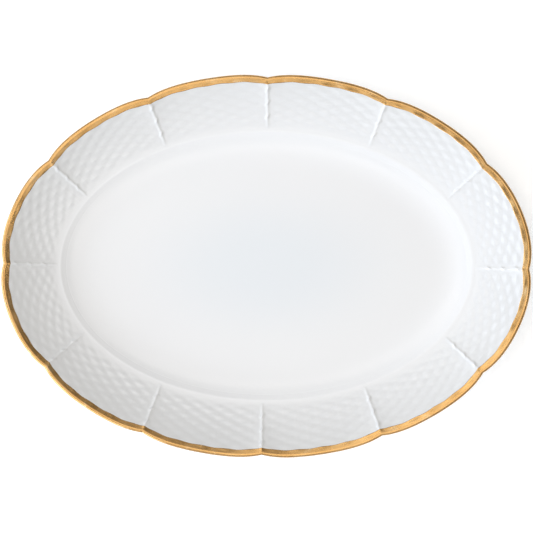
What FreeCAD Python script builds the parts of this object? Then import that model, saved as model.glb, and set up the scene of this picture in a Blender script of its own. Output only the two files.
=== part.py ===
"""Oval china serving platter: porcelain body with a scalloped, ribbed rim, foot ring and gilded lip.

Millimetres.  +X runs along the platter's length and +Z is up.  The origin is the middle of the
foot ring's contact face, so the platter stands on z = 0.

Every level of the platter is a closed wire that follows the same oval.  A wire is placed by its
inset, the distance inwards from the crown line, which is the ellipse that the scallops touch.
"""
import FreeCAD, Part
import bisect
import math
import os

# ---- Driving dimensions -----------------------------------------------------------------------
CROWN_LENGTH = 383.1        # ellipse through the crowns of the scallops; a notch sits at each end
CROWN_WIDTH = 276.5         # of both axes, so the platter itself measures 381 x 275

SCALLOPS = 12
SCALLOP_DEPTH = 2.7         # notch below crown
SCALLOP_POWER = 4           # flat-topped lobe with short shoulders
PATTERN_SHIFT = -2.2        # the moulded pattern lies this far clockwise of the axes, along the lip
PATTERN_SWAY = 1.2          # slow drift of the scallop spacing, once round the oval
PATTERN_STRETCH = -2.2      # and twice round it
RIM_SPREAD = 0.018          # the rim is this share wider at the ends and narrower at the sides
RIM_PINCH = 0.013           # and this share narrower at the four quarters, so the well is an ellipse

FOOT_HEIGHT = 6.0
FLOOR_HEIGHT = 10.5         # upper face of the well's floor
CREST_INSET = 41.5          # where the rim turns down into the well
CAVETTO_WIDTH = 30.0        # from the crest to the flat floor
LIP_SLOPE = 0.52            # steepness of the rim at the lip, rise over run
CREST_SLOPE = 0.27          # and near the crest
CREST_EASE = 0.4            # the rim lies this share flatter along the crest itself
CREST_EASE_WIDTH = 4.0
CREST_TURN = 1.8            # width of the bend over the crest
CAVETTO_SLOPE = 0.45        # steepness at the top of the well's wall
CAVETTO_POWER = 1.6         # how fast the wall flattens out to the floor

WALL = 4.5                  # body thickness, measured straight down
BASE_INSET = 65.5           # edge of the flat base, which the foot ring stands out from
BASE_CUT = 0.5              # the lofted shape starts this far below the base and is cut flat there
UNDERSIDE_SHIFT = 2.0       # the outside of the cavetto stands this far out from its inside
LIP_RADIUS = 1.9
LIP_FLAT = 0.7              # narrow flat along the top of the lip

RIB_RADIUS = 0.8
RIB_START = 7.0             # inset of the rib's outer end, just clear of the gilding
RIB_END = 37.0
RIB_SPANS = 6               # spans of the curve along a rib's middle

FOOT_INSET = 68.0           # outside of the ring, where it meets the body
FOOT_WIDTH = 6.5
FOOT_CONTACT_WIDTH = 3.4
FOOT_ROUNDING = 0.8

GOLD_THICKNESS = 0.15
GOLD_INSET = 5.7            # inner edge of the gilding on the upper face
GOLD_DROP = 3.2             # height of the gilded edge, down from the top of the lip

# Insets of the levels that the body is lofted through, closer together where the section bends.
UNDERSIDE_INSETS = (60, 55, 50, 46, 43, 41, 39, 36, 31, 24, 16, 9, 4.5)
WELL_INSETS = (71.5, 65, 59, 53, 48, 45, 43.5, 42.5, 41.5, 40)
RIM_INSETS = (37, 32, 26, 19, 12, 6, 1)

POINTS_PER_SCALLOP = 13     # interpolation points of one edge of a wire
ARC_STEPS = 3600            # steps for measuring along the crown line
PROFILE_STEPS = 1350        # steps for adding up the height of the upper face

HALF_LENGTH = CROWN_LENGTH / 2
HALF_WIDTH = CROWN_WIDTH / 2


# ---- The oval ---------------------------------------------------------------------------------
def running_lengths():
    """Length along the crown line from the +X axis, at even steps of the ellipse's angle."""
    step = 2 * math.pi / ARC_STEPS
    lengths = [0.0]
    for index in range(ARC_STEPS):
        angle = (index + 0.5) * step
        speed = math.hypot(HALF_LENGTH * math.sin(angle), HALF_WIDTH * math.cos(angle))
        lengths.append(lengths[-1] + speed * step)
    return lengths


LENGTHS = running_lengths()
PERIMETER = LENGTHS[-1]


def angle_at(length):
    """Ellipse angle of the point that lies this far along the crown line."""
    turns = math.floor(length / PERIMETER)
    rest = length - turns * PERIMETER
    index = min(bisect.bisect_right(LENGTHS, rest), ARC_STEPS) - 1
    part = (rest - LENGTHS[index]) / (LENGTHS[index + 1] - LENGTHS[index])
    return 2 * math.pi * (turns + (index + part) / ARC_STEPS)


def notch_length(number):
    """Where a notch lies along the crown line: evenly spaced, with a slow drift."""
    turn = 2 * math.pi * number / SCALLOPS
    drift = PATTERN_SHIFT + PATTERN_SWAY * math.sin(turn) + PATTERN_STRETCH * math.sin(2 * turn)
    return PERIMETER * number / SCALLOPS + drift


def scallop_drop(share, inset):
    """How far the edge falls inside the crown line; the scallops fade out at the crest."""
    fade = max(0.0, 1 - inset / CREST_INSET)
    return SCALLOP_DEPTH * fade * abs(2 * share - 1) ** SCALLOP_POWER


def oval_point(number, share, inset, height):
    """Point on scallop `number`, `share` of the way along it, at an inset and a height."""
    start = notch_length(number)
    end = notch_length(number + 1)
    angle = angle_at(start + share * (end - start))
    normal = FreeCAD.Vector(math.cos(angle) / HALF_LENGTH, math.sin(angle) / HALF_WIDTH, 0)
    normal.normalize()
    crown = FreeCAD.Vector(HALF_LENGTH * math.cos(angle), HALF_WIDTH * math.sin(angle), height)
    spread = 1 + RIM_SPREAD * math.cos(2 * angle) - RIM_PINCH * math.sin(2 * angle) ** 2
    return crown - normal * (inset * spread + scallop_drop(share, inset))


def oval_wire(inset, height):
    """Closed wire at one level, with one smooth edge per scallop."""
    edges = []
    for number in range(SCALLOPS):
        points = []
        for index in range(POINTS_PER_SCALLOP):
            points.append(oval_point(number, index / (POINTS_PER_SCALLOP - 1), inset, height))
        curve = Part.BSplineCurve()
        curve.interpolate(points)
        edges.append(curve.toShape())
    return Part.Wire(edges)


def loft(levels):
    """Solid through (inset, height) levels, listed from the bottom up."""
    return Part.makeLoft([oval_wire(inset, height) for inset, height in levels], True)


def prism(inset, bottom, top):
    """Straight-walled oval solid."""
    face = Part.Face(oval_wire(inset, bottom))
    return face.extrude(FreeCAD.Vector(0, 0, top - bottom))


# ---- Cross-section ----------------------------------------------------------------------------
def steepness(inset):
    """Slope of the upper face: rim, eased crest, then the cavetto that flattens to the floor."""
    from_crest = inset - CREST_INSET
    rim = LIP_SLOPE + (CREST_SLOPE - LIP_SLOPE) * inset / CREST_INSET
    rim *= 1 - CREST_EASE * math.exp(-(from_crest / CREST_EASE_WIDTH) ** 2)
    down = min(max(from_crest / CAVETTO_WIDTH, 0.0), 1.0)
    wall = CAVETTO_SLOPE * (1 - down) ** CAVETTO_POWER
    turn = min(max(from_crest / CREST_TURN, 0.0), 1.0)
    return rim + (wall - rim) * turn * turn * (3 - 2 * turn)


def rising_heights():
    """Height of the upper face at even steps outwards from the edge of the flat floor."""
    heights = [FLOOR_HEIGHT]
    for index in range(PROFILE_STEPS):
        inset = FLOOR_INSET * (1 - (index + 0.5) / PROFILE_STEPS)
        heights.append(heights[-1] + steepness(inset) * FLOOR_INSET / PROFILE_STEPS)
    return heights


FLOOR_INSET = CREST_INSET + CAVETTO_WIDTH
HEIGHTS = rising_heights()


def top_height(inset):
    """Height of the upper face at an inset."""
    place = min(max((1 - inset / FLOOR_INSET) * PROFILE_STEPS, 0.0), PROFILE_STEPS - 1.0)
    index = int(place)
    return HEIGHTS[index] + (HEIGHTS[index + 1] - HEIGHTS[index]) * (place - index)


LIP_ANGLE = math.atan(LIP_SLOPE)
LIP_JOIN = LIP_RADIUS * (1 + math.sin(LIP_ANGLE))       # inset where the rim meets the round lip
HEIGHT = top_height(LIP_JOIN) + LIP_RADIUS * (1 - math.cos(LIP_ANGLE))


def underside_height(inset):
    """Height of the lower face, a wall's thickness under the upper one."""
    shift = UNDERSIDE_SHIFT * min(1.0, inset / CREST_INSET)
    return top_height(inset + shift) - WALL


def lip_level(degrees, growth=0.0):
    """Point on the round of the lip; 90 is straight up, -60 is well under the edge."""
    radius = LIP_RADIUS + growth
    inset = LIP_RADIUS - radius * math.cos(math.radians(degrees))
    return (inset, HEIGHT - LIP_RADIUS + radius * math.sin(math.radians(degrees)))


# ---- Pieces -----------------------------------------------------------------------------------
def outer_solid():
    """Everything inside the platter's underside and lip, cut flat at the base."""
    levels = [(BASE_INSET, FOOT_HEIGHT - BASE_CUT)]
    for inset in UNDERSIDE_INSETS:
        levels.append((inset, underside_height(inset)))
    for degrees in (-60, -30, 0, 30, 55):
        levels.append(lip_level(degrees))
    levels.append((LIP_RADIUS - LIP_FLAT / 2, HEIGHT))
    return loft(levels).cut(prism(0, 0, FOOT_HEIGHT))


def cavity_solid():
    """The space over the upper face, carried on a little past the lip."""
    levels = []
    for inset in WELL_INSETS + RIM_INSETS:
        levels.append((inset, top_height(inset)))
    return loft(levels)


def rib(number):
    """Raised rod that runs from the gilding to the crest, behind one notch."""
    points = []
    for step in range(RIB_SPANS + 1):
        inset = RIB_START + (RIB_END - RIB_START) * step / RIB_SPANS
        points.append(oval_point(number, 0, inset, top_height(inset)))
    curve = Part.BSplineCurve()
    curve.interpolate(points)
    path = Part.Wire(curve.toShape())
    section = Part.Wire(Part.makeCircle(RIB_RADIUS, points[0], points[1] - points[0]))
    rod = path.makePipeShell([section], True, True)
    for end in (points[0], points[-1]):
        rod = rod.fuse(Part.makeSphere(RIB_RADIUS, end))
    return rod


def porcelain_body():
    body = outer_solid().cut(cavity_solid())
    ribs = [rib(number) for number in range(SCALLOPS)]
    return body.fuse(ribs)


def foot_ring():
    """Standing ring, a little narrower at its rounded contact face than at the body."""
    taper = (FOOT_WIDTH - FOOT_CONTACT_WIDTH) / 2 - FOOT_ROUNDING / 2
    outside = []
    inside = []
    for height, narrowing in ((0, taper + FOOT_ROUNDING / 2), (FOOT_ROUNDING, taper), (FOOT_HEIGHT, 0)):
        outside.append((FOOT_INSET + narrowing, height))
        inside.append((FOOT_INSET + FOOT_WIDTH - narrowing, height))
    outer = Part.makeLoft([oval_wire(*level) for level in outside], True, True)
    inner = Part.makeLoft([oval_wire(*level) for level in inside], True, True)
    return outer.cut(inner)


def gold_rim_band(body):
    """Thin skin of gilding over the lip and the outer few millimetres of the upper face."""
    grown = []
    for degrees in (-75, -50, -25, 0, 25, 50, 70):
        grown.append(lip_level(degrees, GOLD_THICKNESS))
    grown.append((LIP_RADIUS - LIP_FLAT / 2, HEIGHT + GOLD_THICKNESS))
    fat = loft(grown)
    below = prism(0, 0, HEIGHT - GOLD_DROP)
    opening = []
    for inset in (GOLD_INSET + 3, GOLD_INSET, 4.5, LIP_JOIN, 1):
        opening.append((inset, top_height(inset) + GOLD_THICKNESS))
    inner = prism(GOLD_INSET, 0, top_height(GOLD_INSET) + 2 * GOLD_THICKNESS)
    return fat.cut(below).cut(loft(opening)).cut(inner).cut(body)


def write(shape, node):
    """Check one piece and write its STEP file."""
    solids = shape.Solids
    box = shape.BoundBox
    print(f"{node}: solids {len(solids)}, valid {shape.isValid()}, faces {len(shape.Faces)}, "
          f"volume {shape.Volume / 1000:.2f} cm3, "
          f"box {box.XLength:.2f} x {box.YLength:.2f} x {box.ZMin:.2f}..{box.ZMax:.2f}")
    shape.exportStep(f"parts/{node}.step")


os.makedirs("parts", exist_ok=True)
china = porcelain_body()
write(china, "porcelain_body")
write(foot_ring(), "foot_ring")
write(gold_rim_band(china), "gold_rim_band")
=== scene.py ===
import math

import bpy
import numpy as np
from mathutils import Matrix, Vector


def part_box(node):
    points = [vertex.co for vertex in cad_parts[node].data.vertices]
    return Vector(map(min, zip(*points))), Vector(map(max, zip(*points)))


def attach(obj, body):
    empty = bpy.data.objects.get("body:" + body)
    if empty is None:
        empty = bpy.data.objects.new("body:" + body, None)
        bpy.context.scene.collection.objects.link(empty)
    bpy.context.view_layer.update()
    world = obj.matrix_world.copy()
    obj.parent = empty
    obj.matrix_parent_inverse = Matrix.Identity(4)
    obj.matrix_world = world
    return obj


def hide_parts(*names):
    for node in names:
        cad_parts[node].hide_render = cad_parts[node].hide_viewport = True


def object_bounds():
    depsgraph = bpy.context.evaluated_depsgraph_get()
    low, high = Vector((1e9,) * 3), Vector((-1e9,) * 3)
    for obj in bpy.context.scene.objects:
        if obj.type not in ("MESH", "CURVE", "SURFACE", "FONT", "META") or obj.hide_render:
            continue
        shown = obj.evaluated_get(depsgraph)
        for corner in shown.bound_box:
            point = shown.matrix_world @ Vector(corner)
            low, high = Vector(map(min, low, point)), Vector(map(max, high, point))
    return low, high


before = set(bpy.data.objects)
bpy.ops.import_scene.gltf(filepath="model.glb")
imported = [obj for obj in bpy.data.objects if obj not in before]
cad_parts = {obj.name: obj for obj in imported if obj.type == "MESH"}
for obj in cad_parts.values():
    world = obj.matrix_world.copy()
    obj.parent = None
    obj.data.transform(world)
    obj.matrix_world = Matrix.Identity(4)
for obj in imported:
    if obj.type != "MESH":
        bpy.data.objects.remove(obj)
cad_low, cad_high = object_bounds()

# Looks of the oval china serving platter: glazed porcelain with moulded basketweave on its rim,
# gilding fired over the lip, and a foot ring with a bare contact face.
#
# Lengths are millimetres in the named values and the shape functions, and metres in Blender.
# Every level of the platter follows one oval, as in the CAD model.  A level is placed by its
# inset, the distance inwards from the crown line, the ellipse that the scallops touch.

MM = 0.001

# ---- Sizes shared with the CAD model -----------------------------------------------------------
CROWN_LENGTH = 383.1
CROWN_WIDTH = 276.5
SCALLOPS = 12
SCALLOP_DEPTH = 2.7
SCALLOP_POWER = 4
PATTERN_SHIFT = -2.2
PATTERN_SWAY = 1.2
PATTERN_STRETCH = -2.2
RIM_SPREAD = 0.018
RIM_PINCH = 0.013
FLOOR_HEIGHT = 10.5
CREST_INSET = 41.5
CAVETTO_WIDTH = 30.0
LIP_SLOPE = 0.52
CREST_SLOPE = 0.27
CREST_EASE = 0.4
CREST_EASE_WIDTH = 4.0
CREST_TURN = 1.8
CAVETTO_SLOPE = 0.45
CAVETTO_POWER = 1.6
WALL = 4.5
UNDERSIDE_SHIFT = 2.0
LIP_RADIUS = 1.9
FOOT_INSET = 68.0
FOOT_WIDTH = 6.5
FOOT_CONTACT_WIDTH = 3.4
GOLD_INSET = 5.7
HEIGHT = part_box("porcelain_body")[1].z / MM             # top of the porcelain lip
FOOT_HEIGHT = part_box("foot_ring")[1].z / MM

# ---- Moulded relief ----------------------------------------------------------------------------
STAKES = 10                 # stake intervals in one scallop's panel
STAKE_PITCH = 8.6           # usual width of one interval
ROW_PITCH = 3.32            # height of one row of weaving
FIRST_ROW = 8.05            # inset of the first row that shows beside the gilding
WEAVE_FADE = 33.0           # the weaving melts into the plain crest from here
WEAVE_END = 40.0            # to here
WEAVE_HEIGHT = 0.33         # how far a strand stands out where it passes in front of a stake
GROOVE_SHARE = 0.2          # how much of that is lost in the groove between two rows
CLEAR_OF_RIB = 1.0          # the weaving starts this far from a rib's middle
FULL_BESIDE_RIB = 4.5       # and has its whole height from here
STAKE_HEIGHT = 0.03
STAKE_HALF_WIDTH = 0.9
RIB_HEIGHT = 0.34
RIB_HALF_WIDTH = 1.3
SKIRT_HEIGHT = 0.18         # broad rise that the rib stands on
SKIRT_WIDTH = 3.2
RIB_FADE = 34.0             # the rib sinks into the rim from here
RIB_END = 41.5              # to here
WRAP_INSETS = (11.4, 21.1, 30.8)    # short diagonal rolls across each rib
WRAP_LENGTH = 6.0
WRAP_HALF_WIDTH = 0.9
WRAP_HEIGHT = 0.52
RING_LINE_INSET = 46.0      # faint turned line in the cavetto
RING_LINE_DEPTH = 0.04
RING_LINE_HALF_WIDTH = 0.25
GILDED_RELIEF = 0.22        # share of the relief that is left under the gilding
GILDED_RELIEF_END = 3.0     # and from this inset inwards it grows to the whole
RELIEF_START = 4.5          # inset where the relief has risen to its share, from none at the lip
# Painted shade: the rim is painted grey, darker towards the lip and in the relief's valleys.
SHADE_AT_CREST = 0.25       # painted shade on the rim, as greyness where 1 is the grey of the material
SHADE_GROWTH = 0.60         # added from the crest to the lip
VALLEY_SHADE = 0.15         # and from the top of a strand to the bottom of a valley

# ---- Mesh fineness -----------------------------------------------------------------------------
PANEL_COLUMNS = 100         # columns of one panel; every fourth carries on where nothing is carved
COARSE_STEP = 4
RELIEF_ROW_STEP = 0.68
UNDER_GOLD = 0.12           # the porcelain is drawn in this far where the gilding covers it
ARC_STEPS = 7200            # steps for measuring along the crown line
SHARE_STEPS = 4000          # steps for spacing the columns of a panel
STAKE_CROWDING = 1.6        # how much closer the columns lie at a stake
STAKE_CROWD_WIDTH = 0.14    # in stake intervals
RIB_CROWDING = 2.6          # and at a rib
RIB_CROWD_WIDTH = 0.2
PROFILE_STEPS = 2700        # steps for adding up the height of the upper face

HALF_LENGTH = CROWN_LENGTH / 2
HALF_WIDTH = CROWN_WIDTH / 2


# ---- The oval ----------------------------------------------------------------------------------
STEP_ANGLES = np.linspace(0, 2 * math.pi, ARC_STEPS + 1)
STEP_MIDDLES = (STEP_ANGLES[:-1] + STEP_ANGLES[1:]) / 2
STEP_SPEEDS = np.hypot(HALF_LENGTH * np.sin(STEP_MIDDLES), HALF_WIDTH * np.cos(STEP_MIDDLES))
LENGTHS = np.concatenate([[0], np.cumsum(STEP_SPEEDS * 2 * math.pi / ARC_STEPS)])
PERIMETER = LENGTHS[-1]


def notch_length(number):
    """Where a notch lies along the crown line: evenly spaced, with a slow drift."""
    turn = 2 * math.pi * number / SCALLOPS
    drift = PATTERN_SHIFT + PATTERN_SWAY * math.sin(turn) + PATTERN_STRETCH * math.sin(2 * turn)
    return PERIMETER * number / SCALLOPS + drift


def smooth(low, high, value):
    """0 below low, 1 above high, and an S-curve between them."""
    share = np.clip((value - low) / (high - low), 0, 1)
    return share * share * (3 - 2 * share)


def panel_shares():
    """Columns across one panel, closer together at the stakes and closest at the ribs."""
    share = np.linspace(0, 1, SHARE_STEPS + 1)
    stake_distance = np.abs(share * STAKES - np.round(share * STAKES))
    rib_distance = STAKES * np.minimum(share, 1 - share)
    weight = np.ones_like(share)
    weight += STAKE_CROWDING * np.exp(-(stake_distance / STAKE_CROWD_WIDTH) ** 2)
    weight += RIB_CROWDING * np.exp(-(rib_distance / RIB_CROWD_WIDTH) ** 2)
    running = np.concatenate([[0], np.cumsum((weight[1:] + weight[:-1]) / 2)])
    return np.interp(np.linspace(0, running[-1], PANEL_COLUMNS + 1)[:-1], running, share)


class Columns:
    """Directions round the oval, each with its place in its panel."""

    def __init__(self, step=1):
        shares = panel_shares()[::step]
        starts = np.array([notch_length(number) for number in range(SCALLOPS + 1)])
        widths = np.diff(starts)
        self.share = np.tile(shares, SCALLOPS)
        self.panel = np.repeat(np.arange(SCALLOPS), len(shares))
        length = starts[self.panel] + self.share * widths[self.panel]
        angle = np.interp(length % PERIMETER, LENGTHS, STEP_ANGLES)
        self.crown = np.stack([HALF_LENGTH * np.cos(angle), HALF_WIDTH * np.sin(angle)], 1)
        normal = np.stack([np.cos(angle) / HALF_LENGTH, np.sin(angle) / HALF_WIDTH], 1)
        self.normal = normal / np.linalg.norm(normal, axis=1)[:, None]
        self.spread = RIM_SPREAD * np.cos(2 * angle) - RIM_PINCH * np.sin(2 * angle) ** 2
        self.drop = SCALLOP_DEPTH * np.abs(2 * self.share - 1) ** SCALLOP_POWER
        self.stake = self.share * STAKES
        nearest = np.where(self.share < 0.5, self.share, self.share - 1)
        self.from_rib = nearest * widths[self.panel]
        self.count = len(self.share)


def true_inset(columns, inset):
    """Distance inside the crown line, with the scallops, which fade out at the crest."""
    return inset + columns.drop * np.clip(1 - inset / CREST_INSET, 0, None)


def ring(columns, inset, height):
    """One level of points; inset and height are numbers or one value per column."""
    inwards = np.broadcast_to(true_inset(columns, inset) + inset * columns.spread, columns.count)
    flat = columns.crown - columns.normal * inwards[:, None]
    return np.column_stack([flat, np.broadcast_to(height, columns.count)])


# ---- Cross-section -----------------------------------------------------------------------------
FLOOR_INSET = CREST_INSET + CAVETTO_WIDTH
LIP_ANGLE = math.atan(LIP_SLOPE)
LIP_JOIN = LIP_RADIUS * (1 + math.sin(LIP_ANGLE))       # inset where the rim meets the round lip


def steepness(inset):
    """Slope of the upper face: rim, eased crest, then the cavetto that flattens to the floor."""
    from_crest = inset - CREST_INSET
    rim = LIP_SLOPE + (CREST_SLOPE - LIP_SLOPE) * inset / CREST_INSET
    rim = rim * (1 - CREST_EASE * np.exp(-(from_crest / CREST_EASE_WIDTH) ** 2))
    wall = CAVETTO_SLOPE * (1 - np.clip(from_crest / CAVETTO_WIDTH, 0, 1)) ** CAVETTO_POWER
    return rim + (wall - rim) * smooth(0, CREST_TURN, from_crest)


PROFILE_INSETS = np.linspace(FLOOR_INSET, 0, PROFILE_STEPS + 1)
PROFILE_STEP = FLOOR_INSET / PROFILE_STEPS
RISES = steepness(PROFILE_INSETS[1:] + PROFILE_STEP / 2) * PROFILE_STEP
PROFILE_HEIGHTS = FLOOR_HEIGHT + np.concatenate([[0], np.cumsum(RISES)])


def top_height(inset):
    """Height of the upper face, with the faint line turned into the cavetto."""
    line = RING_LINE_DEPTH * np.exp(-((inset - RING_LINE_INSET) / RING_LINE_HALF_WIDTH) ** 2)
    return np.interp(inset, PROFILE_INSETS[::-1], PROFILE_HEIGHTS[::-1]) - line


def underside_height(inset):
    """Height of the lower face, a wall's thickness under the upper one."""
    return top_height(inset + UNDERSIDE_SHIFT * min(1.0, inset / CREST_INSET)) - WALL


def lip_level(degrees, growth=0.0):
    """Inset and height on the round of the lip; 90 is straight up, -60 is well under the edge."""
    radius = LIP_RADIUS + growth
    inset = LIP_RADIUS - radius * math.cos(math.radians(degrees))
    return inset, HEIGHT - LIP_RADIUS + radius * math.sin(math.radians(degrees))


# ---- Relief ------------------------------------------------------------------------------------
ROWS = 16                   # rows that have their own strengths, from FIRST_UNDER rows under the gilding
FIRST_UNDER = 3
STRENGTHS = np.random.default_rng(12).uniform(0.8, 1.15, (SCALLOPS, STAKES + 1, ROWS))


def rounded(distance, half_width):
    """Section of a rod: 1 on its axis and 0 from its edge outwards."""
    return np.sqrt(np.clip(1 - (distance / half_width) ** 2, 0, 1))


def weave_height(columns, inset):
    """Basketweave: strands that pass in front of every other stake, row by row in turn."""
    row = (inset - FIRST_ROW) / ROW_PITCH
    crossing = np.cos(math.pi * columns.stake) * np.cos(math.pi * row)
    groove = GROOVE_SHARE * np.sin(math.pi * row) ** 2
    nearest = np.round(columns.stake).astype(int)
    level = np.clip(np.round(row) + FIRST_UNDER, 0, ROWS - 1).astype(int)
    strength = STRENGTHS[columns.panel, nearest, level]
    front = 0.5 + 0.5 * np.where(crossing > 0, crossing * strength, crossing)
    stake = STAKE_HEIGHT * np.exp(-((columns.stake - nearest) * STAKE_PITCH / STAKE_HALF_WIDTH) ** 2)
    edge = smooth(CLEAR_OF_RIB, FULL_BESIDE_RIB, np.abs(columns.from_rib))
    end = 1 - smooth(WEAVE_FADE, WEAVE_END, inset)
    return (WEAVE_HEIGHT * front * (1 - groove) + stake) * edge * end


def rib_height(columns, inset):
    """A straight rod behind each notch, on a broad skirt and bound by short diagonal wraps."""
    fade = 1 - smooth(RIB_FADE, RIB_END, inset)
    skirt = SKIRT_HEIGHT * np.exp(-(columns.from_rib / SKIRT_WIDTH) ** 2)
    rod = RIB_HEIGHT * np.exp(-(columns.from_rib / RIB_HALF_WIDTH) ** 2)
    height = (skirt + rod) * fade
    for wrap in WRAP_INSETS:
        along = (columns.from_rib + inset - wrap) / math.sqrt(2)
        aside = (columns.from_rib - inset + wrap) / math.sqrt(2)
        taper = rounded(along, WRAP_LENGTH / 2)
        height = height + WRAP_HEIGHT * taper ** 2 * np.exp(-(aside / WRAP_HALF_WIDTH) ** 2)
    return height


def relief(columns, inset):
    """Everything moulded on the rim, as a height over the plain upper face."""
    place = true_inset(columns, inset)
    carved = weave_height(columns, place) + rib_height(columns, place)
    bare = smooth(GILDED_RELIEF_END, GOLD_INSET + 1, inset)
    kept = GILDED_RELIEF + (1 - GILDED_RELIEF) * bare
    return carved * kept * smooth(LIP_RADIUS, RELIEF_START, inset)


def rim_ring(columns, inset, lift):
    """One level of the moulded rim."""
    return ring(columns, inset, top_height(inset) + relief(columns, inset) + lift)


def glaze_depth(columns, inset):
    """Painted shade on the rim, as greyness: more towards the lip and in the relief's valleys, not in the
    well.
    """
    outwards = np.clip(1 - inset / CREST_INSET, 0, 1)
    valley = 0.5 - relief(columns, inset) / WEAVE_HEIGHT
    woven = 1 - smooth(WEAVE_FADE, WEAVE_END, inset)
    depth = SHADE_AT_CREST + SHADE_GROWTH * outwards + VALLEY_SHADE * np.clip(valley, -0.5, 0.5) * woven
    return depth * (1 - smooth(CREST_INSET - 1.5, CREST_INSET + 1, inset))


# ---- Meshes ------------------------------------------------------------------------------------
def bridge(inner, outer, inner_start, outer_start):
    """Faces between two neighbouring rings; one may have COARSE_STEP times the other's points."""
    faces = []
    if inner == outer:
        for column in range(inner):
            after = (column + 1) % inner
            near = (inner_start + column, outer_start + column)
            far = (outer_start + after, inner_start + after)
            faces.append(near + far)
        return faces
    flip = inner > outer
    few, many = min(inner, outer), max(inner, outer)
    few_start, many_start = (outer_start, inner_start) if flip else (inner_start, outer_start)
    half = COARSE_STEP // 2
    for column in range(few):
        near, far = few_start + column, few_start + (column + 1) % few
        points = [many_start + (column * COARSE_STEP + k) % many for k in range(COARSE_STEP + 1)]
        fan = [(near, points[k], points[k + 1]) for k in range(half)]
        fan.append((near, points[half], far))
        fan += [(far, points[k], points[k + 1]) for k in range(half, COARSE_STEP)]
        faces += [face[::-1] for face in fan] if flip else fan
    return faces


def skin(name, rings, closed_loop=False, **tints):
    """Mesh object through rings listed from the middle of the top, over the lip, to the middle
    of the underside.  A single point closes an end; a closed loop joins its last ring to its first.
    Tints, one value per point in a list of rings, are stored on the mesh for its material."""
    starts = np.concatenate([[0], np.cumsum([len(points) for points in rings])]).astype(int)
    faces = []
    pairs = list(zip(range(len(rings) - 1), range(1, len(rings))))
    if closed_loop:
        pairs.append((len(rings) - 1, 0))
    for first, second in pairs:
        a, b = len(rings[first]), len(rings[second])
        if a == 1:
            faces += [(starts[first], starts[second] + k, starts[second] + (k + 1) % b) for k in range(b)]
        elif b == 1:
            faces += [(starts[first] + (k + 1) % a, starts[first] + k, starts[second]) for k in range(a)]
        else:
            faces += bridge(a, b, starts[first], starts[second])
    mesh = bpy.data.meshes.new(name)
    mesh.from_pydata((np.concatenate(rings) * MM).tolist(), [], [tuple(map(int, face)) for face in faces])
    mesh.update()
    mesh.shade_smooth()
    for tint, values in tints.items():
        mesh.attributes.new(tint, "FLOAT", "POINT").data.foreach_set("value", np.concatenate(values))
    piece = bpy.data.objects.new(name, mesh)
    bpy.context.scene.collection.objects.link(piece)
    return piece


def shrunk(points, share, height):
    """The same ring drawn in towards the middle."""
    return np.column_stack([points[:, :2] * share, np.full(len(points), height)])


# Levels of the porcelain skin: shares of the flat faces, insets in millimetres, and degrees on the lip.
FLOOR_SHARES = (0.12, 0.24, 0.36, 0.48, 0.6, 0.72, 0.84, 0.94)
BASE_SHARES = (0.94, 0.8, 0.6, 0.4, 0.2)
UNDERSIDE_INSETS = (2.9, 4.5, 7, 10, 14, 18, 22, 26, 30, 33, 35.5, 37.5, 39, 40, 41, 42, 43.5, 45, 47, 49,
                    51, 54, 57, 60, 62.5, 65.5)
LIP_DEGREES = (90, 60, 30, 0, -30, -58)
RELIEF_FIRST_ROW = 39.8     # inset of the innermost of the fine rings
DIP_START = 0.3             # the porcelain starts to dip this far outside the gilding's inner edge
DIP_END = 0.9               # and is drawn in fully from here to the lip


def cavetto_insets():
    """Levels from the flat floor to the crest, closest together at the turned line."""
    insets = list(np.arange(70.0, 50, -1.5)) + list(np.arange(49.8, 46.7, -0.75))
    return insets + list(np.arange(46.6, 45.3, -0.12)) + list(np.arange(45.2, 40.2, -0.35))


def relief_insets():
    """Levels across the moulded rim; under the gilding every other one is enough."""
    insets = np.arange(RELIEF_FIRST_ROW, LIP_JOIN, -RELIEF_ROW_STEP)
    covered = GOLD_INSET - DIP_END
    return [inset for inset in insets if inset > covered or round(inset / RELIEF_ROW_STEP) % 2 == 0]


def make_body(fine, coarse):
    """Porcelain skin, with its tints: painted shade as grey on the rim, and painted shade, darker and
    bluer, in the middle of the well.
    """
    floor_edge = ring(coarse, FLOOR_INSET, FLOOR_HEIGHT)
    rings = [np.array([[0, 0, FLOOR_HEIGHT]])]
    glaze = [np.zeros(1)]
    pool = [np.ones(1)]
    for share in FLOOR_SHARES:
        rings.append(shrunk(floor_edge, share, FLOOR_HEIGHT))
        glaze.append(np.zeros(coarse.count))
        pool.append(np.full(coarse.count, 1 - smooth(0.15, 0.95, share)))
    for inset in cavetto_insets():
        rings.append(ring(coarse, inset, top_height(inset)))
        glaze.append(glaze_depth(coarse, inset))
    for inset in relief_insets():
        sunk = UNDER_GOLD * (1 - smooth(GOLD_INSET - DIP_END, GOLD_INSET - DIP_START, inset))
        rings.append(rim_ring(fine, inset, -sunk))
        glaze.append(glaze_depth(fine, inset))
    for degrees in LIP_DEGREES:
        rings.append(ring(fine, *lip_level(degrees, -UNDER_GOLD)))
    for inset in UNDERSIDE_INSETS:
        rings.append(ring(coarse, inset, underside_height(inset)))
    base_edge = rings[-1]
    base_height = base_edge[0, 2]
    for share in BASE_SHARES:
        rings.append(shrunk(base_edge, share, base_height))
    rings.append(np.array([[0, 0, base_height]]))
    glaze += [np.zeros(len(points)) for points in rings[len(glaze):]]
    pool += [np.zeros(len(points)) for points in rings[len(pool):]]
    return skin("porcelain", rings, glaze=glaze, pool=pool)


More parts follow.
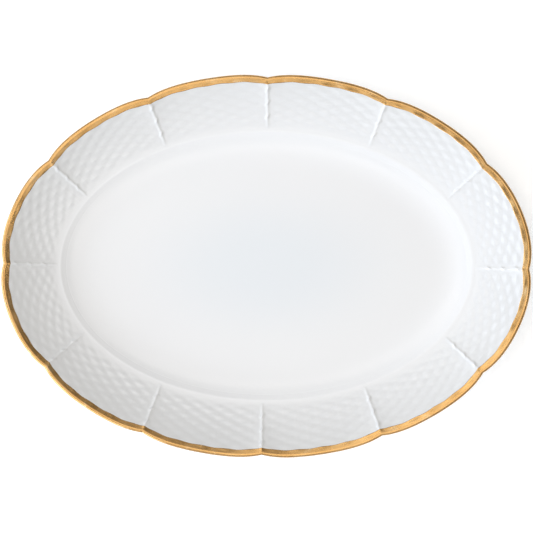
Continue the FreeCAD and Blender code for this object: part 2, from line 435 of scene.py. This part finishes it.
def make_foot(coarse):
    """Foot ring with a flared glaze fillet at the top and a rounded contact face.  Its outline is
    one side of its section: distance from the ring's middle, and height."""
    middle = FOOT_INSET + FOOT_WIDTH / 2
    half_contact = FOOT_CONTACT_WIDTH / 2
    half_top = FOOT_WIDTH / 2
    outline = [(half_top + 0.9, FOOT_HEIGHT + 0.3), (half_top + 0.35, FOOT_HEIGHT - 0.25)]
    outline += [(half_top - 0.1, FOOT_HEIGHT - 1), (half_contact + 0.95, 1.6), (half_contact + 0.75, 0.75)]
    outline += [(half_contact + 0.45, 0.25), (half_contact, 0.0)]
    rings = [ring(coarse, middle - across, height) for across, height in outline]
    rings += [ring(coarse, middle + across, height) for across, height in outline[::-1]]
    return skin("foot", rings, closed_loop=True)


GOLD_PROUD = 0.05           # the gilding's face stands out this far from the porcelain's true surface
GOLD_SUNK = -0.1            # and its back lies this far under it, clear of the drawn-in porcelain
GOLD_WAVE = 0.28            # how far the inner edge wanders
WAVE_START = 1.0            # it is straight this close to a rib's middle
WAVE_FULL = 6.0             # and wanders fully from here
GOLD_FEATHER = 0.12         # share of its width over which the gilding thins out to that edge
GOLD_THINNING = 0.03


def make_gold(fine):
    """Gilding: a thin closed skin that follows the relief, with a hand-laid, faintly wavy edge."""
    wave = np.cos(math.pi * fine.stake) * smooth(WAVE_START, WAVE_FULL, np.abs(fine.from_rib))
    edge = GOLD_INSET - GOLD_WAVE * wave
    outer = []
    inner = []
    for share in np.linspace(0, 1, 11):
        inset = edge + (LIP_JOIN - edge) * share
        full = smooth(0, GOLD_FEATHER, share)
        surface = top_height(inset) + relief(fine, inset)
        outer.append(ring(fine, inset, surface + GOLD_PROUD * full - GOLD_THINNING * (1 - full)))
        inner.append(ring(fine, inset, surface + GOLD_SUNK))
    for degrees in (105, 90, 74, 58, 41, 24, 7, -10, -27, -42):
        outer.append(ring(fine, *lip_level(degrees, GOLD_PROUD)))
        inner.append(ring(fine, *lip_level(degrees, GOLD_SUNK)))
    return skin("gilding", outer + inner[::-1], closed_loop=True)


# ---- Materials ---------------------------------------------------------------------------------
def new_material(name):
    material = bpy.data.materials.new(name)
    material.use_nodes = True
    return material, material.node_tree, material.node_tree.nodes["Principled BSDF"]


def node(tree, kind, **values):
    """New node; each value sets the input of that name, or else the setting of that name."""
    made = tree.nodes.new(kind)
    for key, value in values.items():
        if key in made.inputs:
            made.inputs[key].default_value = value
        else:
            setattr(made, key, value)
    return made


def noise(tree, scale, detail=2.0):
    """Noise in the object's own space; scale is in repeats per metre."""
    place = node(tree, "ShaderNodeTexCoord")
    made = node(tree, "ShaderNodeTexNoise", Scale=scale, Detail=detail)
    tree.links.new(place.outputs["Object"], made.inputs["Vector"])
    return made.outputs["Fac"]


def ramp(tree, value, stops):
    """Colour ramp; a stop is a place on the ramp and a colour."""
    made = node(tree, "ShaderNodeValToRGB")
    elements = made.color_ramp.elements
    for index, (place, colour) in enumerate(stops):
        element = elements[index] if index < 2 else elements.new(place)
        element.position = place
        element.color = (*colour, 1)
    tree.links.new(value, made.inputs["Fac"])
    return made.outputs["Color"]


def spread(tree, value, low, high, from_low=0.3, from_high=0.7):
    """Value stretched from one range onto another; noise lies mostly between 0.3 and 0.7."""
    made = node(tree, "ShaderNodeMapRange")
    made.inputs["From Min"].default_value = from_low
    made.inputs["From Max"].default_value = from_high
    made.inputs["To Min"].default_value = low
    made.inputs["To Max"].default_value = high
    tree.links.new(value, made.inputs["Value"])
    return made.outputs["Result"]


def add_bump(tree, shader, value, strength, distance):
    made = node(tree, "ShaderNodeBump", Strength=strength, Distance=distance)
    tree.links.new(value, made.inputs["Height"])
    tree.links.new(made.outputs["Normal"], shader.inputs["Normal"])


def attribute(tree, name):
    """A tint that is stored on the mesh."""
    made = node(tree, "ShaderNodeAttribute")
    made.attribute_name = name
    return made.outputs["Fac"]


def mix(tree, share, first, second):
    """Colour between two colours, each an RGB tuple or a socket."""
    made = node(tree, "ShaderNodeMix", data_type="RGBA")
    tree.links.new(share, made.inputs["Factor"])
    for socket, colour in (("A", first), ("B", second)):
        target = [one for one in made.inputs if one.name == socket and one.type == "RGBA"][0]
        if isinstance(colour, tuple):
            target.default_value = (*colour, 1)
        else:
            tree.links.new(colour, target)
    return [one for one in made.outputs if one.type == "RGBA"][0]


# Painted shade: the middle of the well is painted darker and bluer.
WELL_SHADE_COLOUR = (0.742, 0.776, 0.797)
WIPED_HEIGHT = 0.35         # the foot is bare below this height, in millimetres
GLAZED_HEIGHT = 0.75        # and glazed above this one


def porcelain_material():
    """White porcelain under a clear glaze, with painted shade: grey on the rim and in the relief, darker
    and bluer in the middle of the well.
    """
    material, tree, shader = new_material("glazed_porcelain")
    white = ramp(tree, noise(tree, 9), [(0.35, (0.79, 0.80, 0.805)), (0.65, (0.80, 0.81, 0.812))])
    shade_grey = ramp(tree, noise(tree, 14), [(0.35, (0.64, 0.65, 0.645)), (0.65, (0.655, 0.665, 0.66))])
    # Painted shade: the rim turns grey towards the lip and in the relief's valleys.
    rim = mix(tree, attribute(tree, "glaze"), white, shade_grey)
    # Painted shade: the middle of the well turns darker and bluer.
    tree.links.new(mix(tree, attribute(tree, "pool"), rim, WELL_SHADE_COLOUR), shader.inputs["Base Color"])
    tree.links.new(spread(tree, noise(tree, 30), 0.14, 0.20), shader.inputs["Roughness"])
    shader.inputs["IOR"].default_value = 1.5
    add_bump(tree, shader, noise(tree, 160, 3), 0.08, 0.0004)
    return material


def foot_material():
    """Glazed sides, and a wiped, unglazed contact face that has gone a little buff."""
    material, tree, shader = new_material("foot_porcelain")
    glazed = ramp(tree, noise(tree, 30), [(0.35, (0.76, 0.77, 0.775)), (0.65, (0.785, 0.795, 0.8))])
    bare = ramp(tree, noise(tree, 220, 4), [(0.3, (0.60, 0.56, 0.49)), (0.7, (0.72, 0.69, 0.62))])
    place = node(tree, "ShaderNodeTexCoord")
    axes = node(tree, "ShaderNodeSeparateXYZ")
    tree.links.new(place.outputs["Object"], axes.inputs["Vector"])
    wiped = spread(tree, axes.outputs["Z"], 1, 0, WIPED_HEIGHT * MM, GLAZED_HEIGHT * MM)
    tree.links.new(mix(tree, wiped, glazed, bare), shader.inputs["Base Color"])
    tree.links.new(spread(tree, wiped, 0.12, 0.65, 0, 1), shader.inputs["Roughness"])
    add_bump(tree, shader, noise(tree, 700, 3), 0.12, 0.0002)
    return material


def gold_material():
    """Burnished gilding, brushed on by hand, and a little paler where it has been rubbed."""
    material, tree, shader = new_material("gilding")
    fresh = ramp(tree, noise(tree, 60, 4), [(0.35, (0.54, 0.315, 0.115)), (0.65, (0.63, 0.385, 0.155))])
    rubbed = spread(tree, noise(tree, 90, 5), 0, 0.6, 0.58, 0.68)
    tree.links.new(mix(tree, rubbed, fresh, (0.66, 0.47, 0.26)), shader.inputs["Base Color"])
    tree.links.new(spread(tree, noise(tree, 120, 4), 0.2, 0.32), shader.inputs["Roughness"])
    add_bump(tree, shader, noise(tree, 350, 3), 0.1, 0.0002)
    shader.inputs["Metallic"].default_value = 1.0
    return material


def floor_material():
    """White paper, seen only from above, so that the underside can be looked at from below."""
    material, tree, shader = new_material("studio_floor")
    shader.inputs["Base Color"].default_value = (0.97, 0.97, 0.97, 1)
    shader.inputs["Emission Color"].default_value = (0.94, 0.98, 1, 1)
    shader.inputs["Emission Strength"].default_value = 0.21
    shader.inputs["Roughness"].default_value = 0.9
    shader.inputs["Specular IOR Level"].default_value = 0.0
    clear = node(tree, "ShaderNodeBsdfTransparent")
    side = node(tree, "ShaderNodeNewGeometry")
    either = node(tree, "ShaderNodeMixShader")
    tree.links.new(side.outputs["Backfacing"], either.inputs["Fac"])
    tree.links.new(shader.outputs["BSDF"], either.inputs[1])
    tree.links.new(clear.outputs["BSDF"], either.inputs[2])
    tree.links.new(either.outputs["Shader"], tree.nodes["Material Output"].inputs["Surface"])
    return material


def dress(piece, material, replaced):
    """Give a piece its material, hang it on the root body and hide the CAD node it stands for."""
    piece.data.materials.append(material)
    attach(piece, "root")
    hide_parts(replaced)


# ---- Stage -------------------------------------------------------------------------------------
FLOOR_GAP = 0.0001          # metres between the foot and the paper
FLOOR_REACH = 8.0


def make_floor():
    mesh = bpy.data.meshes.new("studio_floor")
    corners = [(FLOOR_REACH * x, FLOOR_REACH * y, 0) for x, y in ((-1, -1), (1, -1), (1, 1), (-1, 1))]
    mesh.from_pydata(corners, [], [(0, 1, 2, 3)])
    mesh.materials.append(floor_material())
    floor = bpy.data.objects.new("studio_floor", mesh)
    floor.location.z = cad_low.z - FLOOR_GAP
    bpy.context.scene.collection.objects.link(floor)


ROOM_LIGHT = 0.2
COOL = (0.78, 0.86, 1.0)
WARM = (1.0, 0.93, 0.87)
NEUTRAL = (1.0, 0.98, 0.95)
# The overhead, low and high softboxes began as the answer of a least-squares fit of one-light renders.
# Their powers, and all of the strips, were then set one by one.
SOFTBOXES = (               # name, azimuth and elevation in degrees, distance, size, power, colour
    ("overhead", 0, 90, 2.6, (2.4, 2.4), 23.1, WARM),
    ("low_left", 180, 12, 2.0, (1.6, 0.7), 17.8, COOL),
    ("low_front_left", 225, 12, 2.0, (1.6, 0.7), 22.4, COOL),
    ("left", 180, 40, 2.0, (2.4, 0.6), 9.6, COOL),
    ("back_left", 126, 40, 2.0, (1.3, 0.6), 3.8, NEUTRAL),
    ("front_left", 236, 40, 2.0, (1.3, 0.5), 2.8, NEUTRAL),
    ("front", 275, 39, 2.0, (1.3, 0.8), 2.8, NEUTRAL),
    ("back", 86, 39, 2.0, (1.3, 0.5), 1.2, WARM),
    ("right", 5, 38, 2.0, (1.2, 0.4), 0.55, WARM),
    ("back_right", 45, 38, 2.0, (1.2, 0.4), 0.3, WARM),
    ("high_back", 120, 60, 2.2, (1.6, 1.4), 5.9, NEUTRAL),
    ("high_front", 300, 60, 2.2, (1.6, 1.4), 6.2, NEUTRAL),
    ("catch_light", -16, 50, 2.0, (0.10, 0.14), 0.35, NEUTRAL),
)


def area_light(name, place, size, power, colour):
    light = bpy.data.lights.new(name, "AREA")
    light.shape = "RECTANGLE"
    light.size, light.size_y = size
    light.energy = power
    light.color = colour
    lamp = bpy.data.objects.new(name, light)
    lamp.location = place
    lamp.rotation_euler = (-Vector(place)).to_track_quat("-Z", "Y").to_euler()
    bpy.context.scene.collection.objects.link(lamp)


def make_lights():
    """Dim room, a large softbox overhead, strong ones on the left and weak strips all round."""
    world = bpy.data.worlds.new("studio")
    world.use_nodes = True
    background = world.node_tree.nodes["Background"]
    background.inputs["Color"].default_value = (1, 1, 1, 1)
    background.inputs["Strength"].default_value = ROOM_LIGHT
    bpy.context.scene.world = world
    for name, azimuth, elevation, distance, size, power, colour in SOFTBOXES:
        turn, tilt = math.radians(azimuth), math.radians(elevation)
        across = distance * math.cos(tilt)
        place = (across * math.cos(turn), across * math.sin(turn), distance * math.sin(tilt))
        area_light(name, place, size, power, colour)


SENSOR_WIDTH = 36
CAMERA_HEIGHT = 2.4
CAMERA_ASIDE = (0.0001, -0.0003)
PLATTER_SHARE = 0.99662     # of the frame's width


def make_camera():
    """Straight down, far off with a long lens, so the platter just fills the frame's width."""
    camera = bpy.data.cameras.new("camera")
    camera.sensor_width = SENSOR_WIDTH
    lip_distance = CAMERA_HEIGHT - cad_high.z
    camera.lens = SENSOR_WIDTH * lip_distance * PLATTER_SHARE / (cad_high.x - cad_low.x)
    camera.clip_start, camera.clip_end = 0.1, 50
    eye = bpy.data.objects.new("camera", camera)
    eye.location = (*CAMERA_ASIDE, CAMERA_HEIGHT)
    bpy.context.scene.collection.objects.link(eye)
    bpy.context.scene.camera = eye


# ---- Putting it together -----------------------------------------------------------------------
fine_columns = Columns()
coarse_columns = Columns(COARSE_STEP)
dress(make_body(fine_columns, coarse_columns), porcelain_material(), "porcelain_body")
dress(make_foot(coarse_columns), foot_material(), "foot_ring")
dress(make_gold(fine_columns), gold_material(), "gold_rim_band")
make_floor()
make_lights()
make_camera()

scene = bpy.context.scene
scene.view_settings.view_transform = "Standard"

bpy.context.view_layer.update()
